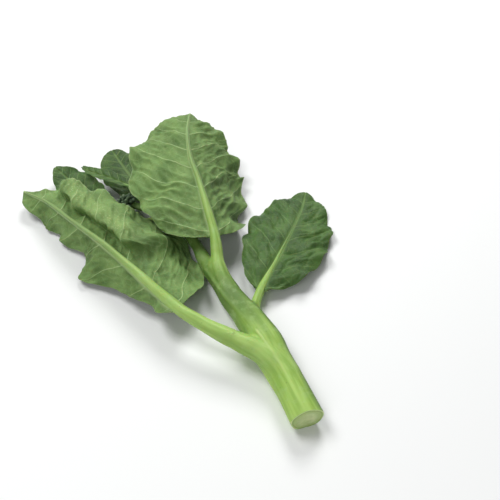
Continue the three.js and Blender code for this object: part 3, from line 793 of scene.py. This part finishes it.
def blade_piece(leaf, seed):
    spec = leaf.spec
    rows = spec["rows"] * VEINS_PER_SIDE
    u = np.linspace(0, 1, rows + 1)[:, None]
    size = leaf.tip / LONGEST_BLADE
    parts = []
    for side in ("left", "right"):
        columns = spec[side]["columns"]
        v = (np.arange(columns + 1) / columns)[None] ** COLUMN_CROWDING
        uu, vv = np.broadcast_arrays(u, v)
        p, face, x, y, width, q, slant = leaf.half(side, uu, vv)
        sign = -1 if side == "left" else 1
        parts.append([p, face, x, y * sign, q, vv, width, slant])
    join = [np.concatenate([a[:, :0:-1], b], 1) for a, b in zip(*parts)]
    p, face, x, y, q, v, width, slant = join

    # Folds along the side veins, and puckers between the smaller ones
    q = q + VEIN_WANDER * plane_noise(x / 16, y / 16, seed + 6) * smooth(np.abs(y), 2, 14)
    along = q * leaf.tip / VEINS_PER_SIDE
    away = smooth(np.abs(y), 1.5, 10) * smooth(width, 3, 16)
    side = np.sign(y) + 3
    warp = 3.5 * plane_noise(x / 15, y / 15, seed + 1)
    folds = 1 - 2 * np.abs(plane_noise((along + warp) / 8, (y + warp) / 22, seed))
    soft = plane_noise(along / 12 + side, y / 26, seed + 2)
    dome = smooth(cells((along + warp) / 11, (y - 0.6 * warp) / 13, seed + 3), 0, 1)
    small = cells((x + 0.5 * warp) / 4.2, (y + warp) / 4.8, seed + 4)
    back = 1 if spec["back_up"] else -1
    lift = WRINKLE * (0.65 * folds + soft) - PUCKER * (dome - 0.5) - PIMPLE * small
    lift = away * lift * back
    fine = 0.2 * plane_noise(x / 9, y / 9, seed + 5)
    if leaf.name == "leaf_round":
        # The one sharp crease, from the left margin to the midrib
        past = (q - CREASE_VEIN + CREASE_DRIFT * y) * leaf.tip / VEINS_PER_SIDE + 0.6 * warp
        crease = np.where(past > 0, np.exp(-past / CREASE_STEEP), np.exp(past / CREASE_GENTLE))
        lift = lift + CREASE_HEIGHT * crease * smooth(-y, 3, 16) * back
    p = p + face * ((lift + fine * away) * min(1, size + 0.35))[..., None]

    # Veins and midrib stand out from the back and are grooves in the front
    row = np.gradient(p, axis=0)
    column = np.gradient(p, axis=1)
    normal = unit(np.cross(row, column))
    normal = np.where(dot(normal, face) < 0, -normal, normal)
    spacing = leaf.tip / VEINS_PER_SIDE / np.sqrt(1 + slant**2)
    off = np.abs(q - np.round(q)) * spacing
    breadth = (0.95 - 0.55 * v) * (0.4 + 0.6 * size)
    whole = smooth(q, -0.5, -0.2) * (1 - smooth(q, VEINS_PER_SIDE - 0.8, VEINS_PER_SIDE - 0.5))
    vein = np.exp(-((off / breadth) ** 2)) * whole * (1 - 0.6 * v) * smooth(np.abs(y), 0, 2)
    rib = profile(spec["stalk"], spec["blade_from"] + np.clip(x, 0, leaf.tip))
    flank = 0.6 * rib * (1 - smooth(np.abs(y), 0.5 * rib, 2.3 * rib))
    groove = 0.35 * rib * (1 - smooth(np.abs(y), 0.3 * rib, 1.5 * rib))
    edge = 1 - 0.6 * smooth(v, 0.96, 1)
    back_face = 0.5 * LEAF_THICKNESS * edge + VEIN_HEIGHT * vein * (0.4 + 0.6 * size) + flank
    front_face = 0.5 * LEAF_THICKNESS * edge - 0.3 * VEIN_HEIGHT * vein - groove
    up, down = (back_face, front_face) if spec["back_up"] else (front_face, back_face)
    top = p + normal * up[..., None]
    bottom = p - normal * down[..., None]
    points = np.vstack([top.reshape(-1, 3), bottom.reshape(-1, 3)])
    points[:, 2] = press(points[:, 2], *LEAF_FLOOR)

    # Both faces and the margin between them
    n_rows, n_columns = q.shape
    i, j = np.meshgrid(np.arange(n_rows - 1), np.arange(n_columns - 1), indexing="ij")
    a = i * n_columns + j
    quads = np.stack([a, a + 1, a + n_columns + 1, a + n_columns], -1).reshape(-1, 4)
    count = n_rows * n_columns
    loop = np.r_[
        np.arange(n_columns),
        (np.arange(1, n_rows) + 1) * n_columns - 1,
        (n_rows - 1) * n_columns + np.arange(n_columns - 1)[::-1],
        np.arange(1, n_rows - 1)[::-1] * n_columns,
    ]
    ahead = np.roll(loop, -1)
    rim = np.stack([loop, loop + count, ahead + count, ahead], 1)
    faces = np.vstack([quads, quads[:, ::-1] + count, rim])

    # The top of a pleat, which only the left leaf has, where the leaf material paints light on its
    # crest
    crest = np.zeros(q.shape)
    for bend in spec["right"]["bends"][1:2]:
        reach = bend["at"] + bend["over"] + CREST_OFFSET + bend["drift"] * x
        crest = np.exp(-(((y - reach) / CREST_WIDTH) ** 2)) * smooth(x, *CREST_FROM)
        crest = crest * (1 - smooth(x, *CREST_TO))
    up_back = float(spec["back_up"])

    def twice(values):
        return np.r_[values.ravel(), values.ravel()]

    fields = {
        "flat": np.stack([twice(x), twice(y), np.zeros(2 * count)], 1),
        "net": np.stack([twice(q), twice(v), twice(spacing)], 1),
        "veined": twice(whole),
        "depth": np.full(2 * count, LEAF_DEPTH.get(leaf.name, 1.0)),
        "side": np.r_[np.full(count, up_back), np.full(count, 1 - up_back)],
        # Relief height, which the leaf material turns into painted shade in the hollows and painted
        # light on the raised folds
        "hollow": twice(np.clip(lift * back, -1, 1)),
        "crest": twice(crest),
        "rib": twice(1 - smooth(np.abs(y), 0.7 * rib, 1.5 * rib + 0.5)),
    }
    return make_mesh(leaf.name + "_leaf", points, faces, fields)


def midrib_piece(leaf):
    """The stalk where the blade is on it, on to the blade's tip."""
    start = leaf.spec["blade_from"] - STALK_OVERLAP
    along = np.linspace(start, leaf.length * MIDRIB_END, MIDRIB_STEPS)[:, None]
    angle = np.linspace(0, 2 * math.pi, MIDRIB_SIDES, endpoint=False)[None]
    centre, _, normal, right = leaf.frame(np.broadcast_to(along, (MIDRIB_STEPS, MIDRIB_SIDES)))
    radius = leaf.radius(along, angle)[..., None]
    turn = angle[..., None]
    points, faces = tube(centre + radius * (normal * np.cos(turn) + right * np.sin(turn)))
    s = np.r_[np.repeat(along, MIDRIB_SIDES), along[0], along[-1]]
    t = np.r_[np.tile(angle[0], MIDRIB_STEPS), 0, 0]
    fields = {
        "streak": streaks(4, t, s)[0],
        "bloom_and_shade": 0.12 + 0.3 * smooth(s, start + 20, leaf.length),
        "fade": 0.85 * smooth(s, start + 5, start + 0.7 * leaf.tip),
        "under": np.full(len(s), float(leaf.spec["back_up"])),
        "stalk": np.ones(len(s)),
    }
    return make_mesh(leaf.name + "_midrib", points, faces, fields)


def bud_piece():
    random = np.random.RandomState(5)
    axis = unit(np.array(BUD_HEAD["axis"]))
    middle = np.array(BUD_HEAD["foot"]) + axis * BUD_HEAD["length"] / 2
    side = unit(np.cross(axis, [0, 0, 1]))
    top = np.cross(side, axis)
    points, faces, tips = [], [], []
    total = 0

    def add(place, way, radius, length, kind):
        nonlocal total
        across = unit(np.cross(way, [0.3, 0.2, 0.9]))
        other = np.cross(way, across)
        t = np.linspace(0, 1, BUD_STEPS)[:, None]
        a = np.linspace(0, 2 * math.pi, BUD_SIDES, endpoint=False)[None]
        if kind == "bud":
            r = radius * np.sin(math.pi * (0.06 + 0.9 * t)) ** 0.75 * (1 + 0.09 * np.cos(4 * a))
        else:
            r = radius * (1 + 0 * a) * (1 + 0.3 * t)
        rings = place + way * (length * t)[..., None] + r[..., None] * (
            across * np.cos(a)[..., None] + other * np.sin(a)[..., None])
        p, f = tube(rings)
        points.append(p)
        faces.extend([[k + total for k in face] for face in f])
        tips.append(np.r_[np.repeat(t[:, 0], BUD_SIDES), 0, 1] * (kind == "bud"))
        total += len(p)

    for i in range(BUD_COUNT):
        polar = math.radians(BUD_SPREAD * math.sqrt((i + 0.5) / BUD_COUNT))
        turn = i * GOLDEN_ANGLE
        outward = side * math.cos(turn) + top * math.sin(turn)
        way = axis * math.cos(polar) + math.sin(polar) * outward
        way = unit(way + 0.18 * random.randn(3))
        size = (0.8 + 0.35 * random.rand()) * (0.8 + 0.3 * polar)
        reach = 4.2 + 1.6 * random.rand() + 0.6 * polar
        add(middle + way * reach, way, BUD_RADIUS * size, BUD_LENGTH * size, "bud")
        foot = middle - axis * 3 + way * 1.5
        lean = unit(way * (reach + 0.6) + axis * 3)
        add(foot, lean, BUD_STALK_RADIUS, reach + 2.4, "stalk")
    return make_mesh("buds", np.vstack(points), faces, {"tip": np.concatenate(tips)})


# Materials

class Nodes:
    """Short calls for building a material's nodes."""

    def __init__(self, name):
        self.material = bpy.data.materials.new(name)
        self.material.use_nodes = True
        self.tree = self.material.node_tree
        self.shader = self.tree.nodes["Principled BSDF"]

    def put(self, socket, value):
        if isinstance(value, bpy.types.NodeSocket):
            self.tree.links.new(value, socket)
        else:
            socket.default_value = value

    def new(self, kind, **settings):
        node = self.tree.nodes.new(kind)
        for key, value in settings.items():
            setattr(node, key, value)
        return node

    def attribute(self, name, output="Fac"):
        return self.new("ShaderNodeAttribute", attribute_name=name).outputs[output]

    def math(self, operation, a, b=0.0):
        node = self.new("ShaderNodeMath", operation=operation)
        for socket, value in zip(node.inputs, (a, b)):
            self.put(socket, value)
        return node.outputs[0]

    def times(self, a, b):
        return self.math("MULTIPLY", a, b)

    def scale(self, vector, factors):
        node = self.new("ShaderNodeVectorMath", operation="MULTIPLY")
        self.put(node.inputs[0], vector)
        node.inputs[1].default_value = factors
        return node.outputs[0]

    def split(self, vector):
        node = self.new("ShaderNodeSeparateXYZ")
        self.put(node.inputs[0], vector)
        return node.outputs

    def ramp(self, value, low, high, start=0.0, end=1.0):
        node = self.new("ShaderNodeMapRange", interpolation_type="SMOOTHSTEP")
        keys = ("Value", "From Min", "From Max", "To Min", "To Max")
        for key, v in zip(keys, (value, low, high, start, end)):
            self.put(node.inputs[key], v)
        return node.outputs[0]

    def mix(self, factor, a, b):
        node = self.new("ShaderNodeMix", data_type="RGBA")
        self.put(node.inputs[0], factor)
        self.put(node.inputs[6], a if isinstance(a, bpy.types.NodeSocket) else (*a, 1))
        self.put(node.inputs[7], b if isinstance(b, bpy.types.NodeSocket) else (*b, 1))
        return node.outputs[2]

    def noise(self, vector, scale, detail=3.0, rough=0.55):
        node = self.new("ShaderNodeTexNoise")
        self.put(node.inputs["Vector"], vector)
        node.inputs["Scale"].default_value = scale
        node.inputs["Detail"].default_value = detail
        node.inputs["Roughness"].default_value = rough
        return node.outputs[0]

    def voronoi(self, vector, scale, feature, output="Distance"):
        node = self.new("ShaderNodeTexVoronoi", feature=feature)
        self.put(node.inputs["Vector"], vector)
        node.inputs["Scale"].default_value = scale
        return node.outputs[output]

    def bump(self, height, distance, strength):
        node = self.new("ShaderNodeBump")
        self.put(node.inputs["Height"], height)
        node.inputs["Distance"].default_value = distance
        node.inputs["Strength"].default_value = strength
        return node.outputs[0]

    def finish(self, colour, roughness, normal, **constants):
        self.put(self.shader.inputs["Base Color"], colour)
        self.put(self.shader.inputs["Roughness"], roughness)
        self.put(self.shader.inputs["Normal"], normal)
        for key, value in constants.items():
            self.shader.inputs[key.replace("_", " ")].default_value = value
        return self.material


def leaf_material(name, back, back_dark, front, front_dark, vein_colour):
    n = Nodes(name)
    flat = n.attribute("flat", "Vector")
    net = n.split(n.attribute("net", "Vector"))
    side = n.attribute("side")
    hollow = n.attribute("hollow")
    crest = n.attribute("crest")
    rib = n.attribute("rib")
    # Side veins, thinner and fainter towards the margin
    off = n.math("SUBTRACT", net[0], n.math("ROUND", net[0]))
    off = n.times(n.math("ABSOLUTE", off), net[2])
    wobble = n.times(n.noise(flat, 0.25, 2), 0.5)
    off = n.math("ADD", off, n.math("SUBTRACT", wobble, 0.25))
    width = n.math("SUBTRACT", 0.62, n.times(net[1], 0.36))
    vein = n.math("SUBTRACT", 1.0, n.ramp(off, 0.08, width))
    vein = n.times(vein, n.ramp(net[1], 0.75, 1.0, 1.0, 0.25))
    vein = n.times(vein, n.attribute("veined"))
    # The finer net between them
    bent = n.new("ShaderNodeVectorMath", operation="ADD")
    n.put(bent.inputs[0], flat)
    wave = n.new("ShaderNodeTexNoise")
    n.put(wave.inputs["Vector"], flat)
    wave.inputs["Scale"].default_value = 0.22
    push = n.scale(wave.outputs["Color"], (5, 5, 0))
    n.put(bent.inputs[1], push)
    bent = bent.outputs[0]
    branch = n.ramp(n.voronoi(bent, 0.13, "DISTANCE_TO_EDGE"), 0.0, 0.055, 1.0, 0.0)
    mesh = n.ramp(n.voronoi(bent, 0.5, "DISTANCE_TO_EDGE"), 0.0, 0.12, 1.0, 0.0)
    # Colour
    patch = n.noise(flat, 0.045, 3)
    mottle = n.noise(flat, 0.35, 4, 0.65)
    tone = n.math("ADD", n.times(patch, 0.8), n.times(mottle, 0.2))
    tone = n.ramp(tone, 0.34, 0.66)
    back_colour = n.mix(tone, back_dark, back)
    front_colour = n.mix(tone, front_dark, front)
    colour = n.mix(side, front_colour, back_colour)
    # Painted shade in the hollows of the relief and painted light on its raised folds
    shade = n.ramp(hollow, -1.0, 1.0, 0.86, 1.12)
    value = n.new("ShaderNodeHueSaturation")
    n.put(value.inputs["Color"], colour)
    n.put(value.inputs["Value"], n.times(shade, n.attribute("depth")))
    # Painted light on the crest of the left leaf's pleat
    colour = n.mix(n.times(crest, 0.45), value.outputs[0], (0.3, 0.44, 0.14))
    spot = n.times(n.ramp(n.voronoi(flat, 0.42, "F1"), 0.12, 0.34, 1.0, 0.0), crest)
    colour = n.mix(n.times(spot, 0.5), colour, (0.45, 0.58, 0.28))
    lines = n.times(branch, 0.15)
    lines = n.math("MAXIMUM", lines, n.times(mesh, 0.03))
    lines = n.math("MAXIMUM", lines, n.times(vein, n.ramp(side, 0.0, 1.0, 0.38, 0.75)))
    lines = n.math("MAXIMUM", lines, n.times(rib, n.ramp(side, 0.0, 1.0, 0.4, 0.8)))
    # A pale rim along the margin, partly the margin's own paler colour and partly a painted
    # highlight on the edge
    lines = n.math("MAXIMUM", lines, n.ramp(net[1], 0.972, 0.992, 0.0, 0.45))
    colour = n.mix(lines, colour, vein_colour)
    # Relief
    relief = n.math("ADD", n.times(branch, 0.5), n.times(mesh, 0.25))
    relief = n.math("ADD", relief, n.times(n.noise(flat, 1.3, 3), 0.35))
    signed = n.times(relief, n.ramp(side, 0.0, 1.0, -1.0, 1.0))
    normal = n.bump(signed, 0.00028, 0.8)
    rough = n.ramp(side, 0.0, 1.0, 0.48, 0.58)
    rough = n.math("ADD", rough, n.times(mottle, 0.1))
    return n.finish(colour, rough, normal, Specular_IOR_Level=0.26, Subsurface_Weight=0.12,
                    Subsurface_Scale=0.001)


def stem_material():
    n = Nodes("stem_green")
    streak = n.attribute("streak")
    bloom_and_shade = n.attribute("bloom_and_shade")
    pale = n.attribute("pale")
    stalk = n.attribute("stalk")
    place = n.new("ShaderNodeTexCoord").outputs["Object"]
    cloud = n.noise(place, 60, 3)
    fine = n.noise(place, 900, 3)
    green = n.mix(n.ramp(streak, -0.6, 0.6), (0.27, 0.45, 0.075), (0.4, 0.595, 0.135))
    light = n.mix(n.ramp(streak, -0.6, 0.6), (0.29, 0.48, 0.095), (0.42, 0.62, 0.165))
    colour = n.mix(stalk, green, light)
    # Darker upwards, partly a waxy coat and partly painted shade under the leaves, and painted
    # shade on the right side near the cut
    coat_and_shade = n.math("ADD", bloom_and_shade, n.times(cloud, 0.3))
    coat_and_shade = n.times(n.ramp(coat_and_shade, 0.1, 1.15), 0.9)
    colour = n.mix(coat_and_shade, colour, (0.088, 0.175, 0.032))
    # Lighter patches, partly the stem's waxy coat and partly painted reflection
    wax_and_sheen = n.times(n.ramp(n.noise(place, 130, 4, 0.6), 0.48, 0.68), 0.3)
    colour = n.mix(wax_and_sheen, colour, (0.4, 0.56, 0.23))
    # Pale line on the first ridge, partly its own colour and partly a painted highlight
    colour = n.mix(n.times(pale, 0.85), colour, (0.55, 0.69, 0.27))
    dots = n.voronoi(place, 420, "F1")
    pick = n.split(n.voronoi(place, 420, "F1", "Color"))
    speck = n.times(n.ramp(dots, 0.1, 0.2, 1.0, 0.0), n.ramp(pick[0], 0.9, 0.93))
    colour = n.mix(n.times(speck, 0.5), colour, (0.1, 0.16, 0.04))
    knob = n.ramp(n.voronoi(place, 300, "F1"), 0.1, 0.5, 1.0, 0.0)
    knob = n.times(knob, n.attribute("wart"))
    colour = n.mix(n.times(knob, 0.6), colour, (0.42, 0.55, 0.2))
    blade = n.mix(n.attribute("under"), (0.1, 0.18, 0.055), (0.22, 0.345, 0.125))
    colour = n.mix(n.attribute("fade"), colour, blade)
    relief = n.math("ADD", n.times(streak, 0.5), n.times(fine, 0.2))
    relief = n.math("ADD", relief, n.times(knob, 1.5))
    normal = n.bump(relief, 0.0004, 0.7)
    rough = n.ramp(cloud, 0.3, 0.7, 0.46, 0.64)
    return n.finish(colour, rough, normal, Specular_IOR_Level=0.32, Subsurface_Weight=0.2,
                    Subsurface_Scale=0.003)


def pith_material():
    n = Nodes("cut_face")
    ring = n.attribute("ring")
    place = n.new("ShaderNodeTexCoord").outputs["Object"]
    grain = n.noise(place, 700, 4, 0.7)
    soft = n.noise(place, 160, 3)
    colour = n.mix(n.ramp(soft, 0.3, 0.7), (0.54, 0.66, 0.28), (0.68, 0.78, 0.4))
    colour = n.mix(n.times(n.ramp(grain, 0.5, 0.75), 0.4), colour, (0.36, 0.5, 0.15))
    colour = n.mix(n.times(n.ramp(ring, 0.45, 0.78), 0.75), colour, (0.42, 0.57, 0.17))
    band = n.times(n.ramp(ring, 0.8, 0.87), n.ramp(ring, 0.9, 0.94, 1.0, 0.0))
    colour = n.mix(n.times(band, 0.7), colour, (0.27, 0.42, 0.09))
    colour = n.mix(n.ramp(ring, 0.92, 0.95), colour, (0.58, 0.75, 0.33))
    normal = n.bump(grain, 0.0003, 0.8)
    return n.finish(colour, 0.5, normal, Specular_IOR_Level=0.5, Subsurface_Weight=0.25,
                    Subsurface_Scale=0.002)


def bud_material():
    n = Nodes("bud_green")
    tip = n.attribute("tip")
    place = n.new("ShaderNodeTexCoord").outputs["Object"]
    patch = n.noise(place, 300, 3)
    colour = n.mix(n.ramp(patch, 0.35, 0.65), (0.045, 0.085, 0.045), (0.085, 0.14, 0.075))
    colour = n.mix(n.ramp(tip, 0.5, 1.0, 0.0, 0.5), colour, (0.16, 0.22, 0.11))
    normal = n.bump(n.noise(place, 1500, 2), 0.0001, 0.6)
    return n.finish(colour, 0.55, normal, Specular_IOR_Level=0.35)


def plain(name, colour, roughness):
    n = Nodes(name)
    n.shader.inputs["Base Color"].default_value = (*colour, 1)
    n.shader.inputs["Roughness"].default_value = roughness
    return n.material


def dress(obj, materials, nodes):
    for material in materials:
        obj.data.materials.append(material)
    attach(obj, "root")
    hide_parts(*nodes)


# The part

stem = Stem()
leaves = [Leaf(spec) for spec in LEAVES]
green = stem_material()
glaucous = leaf_material("leaf_grey_green", (0.18, 0.293, 0.088), (0.1, 0.183, 0.047),
                         (0.08, 0.155, 0.036), (0.04, 0.09, 0.02), (0.4, 0.54, 0.24))
dark = leaf_material("leaf_dark_green", (0.14, 0.24, 0.085), (0.1, 0.18, 0.06),
                     (0.075, 0.155, 0.032), (0.038, 0.09, 0.018), (0.26, 0.4, 0.13))

skin = skin_piece(stem, leaves)
dress(skin, [green, pith_material()], ["stem"])
for number, leaf in enumerate(leaves):
    blade = blade_piece(leaf, 20 + 10 * number)
    look, slot = (glaucous, "leaf_back") if leaf.spec["back_up"] else (dark, "leaf_front")
    dress(blade, [look], [leaf.name + "_blade"])
    midrib = midrib_piece(leaf)
    dress(midrib, [green], [leaf.name + "_stalk"])
dress(bud_piece(), [bud_material()], ["bud_head"])

# Table, lights and camera

corners = np.array([(-1, -1, 0), (1, -1, 0), (1, 1, 0), (-1, 1, 0)])
floor = make_mesh("table", corners * TABLE_HALF * 1000, [[0, 1, 2, 3]])
floor.data.materials.append(plain("white_table", (0.9, 0.91, 0.905), 0.6))

toward = Vector((
    math.sin(CAMERA_AZIMUTH) * math.cos(CAMERA_ELEVATION),
    -math.cos(CAMERA_AZIMUTH) * math.cos(CAMERA_ELEVATION),
    math.sin(CAMERA_ELEVATION),
))
camera = bpy.data.objects.new("camera", bpy.data.cameras.new("camera"))
camera.data.lens = 50
camera.data.sensor_width = 36
camera.data.clip_start = 0.01
camera.location = AIM + toward * CAMERA_DISTANCE
camera.rotation_euler = toward.to_track_quat("Z", "Y").to_euler()
bpy.context.scene.collection.objects.link(camera)
bpy.context.scene.camera = camera


def area_light(name, place, energy, width):
    light = bpy.data.objects.new(name, bpy.data.lights.new(name, "AREA"))
    light.data.energy = energy
    light.data.size = width
    light.location = place
    light.rotation_euler = (Vector(place) - AIM).to_track_quat("Z", "Y").to_euler()
    bpy.context.scene.collection.objects.link(light)


area_light("key", (-0.83, 1.6, 2.64), 56, 1.4)
area_light("back", (1.1, 1.65, 1.7), 34, 0.9)
area_light("fill", (-1.3, -0.9, 1.5), 9, 1.2)
world = bpy.data.worlds.new("studio")
world.use_nodes = True
background = world.node_tree.nodes["Background"]
background.inputs["Color"].default_value = (1, 1, 1, 1)
background.inputs["Strength"].default_value = WORLD_LIGHT
bpy.context.scene.world = world
bpy.context.scene.view_settings.view_transform = "Standard"
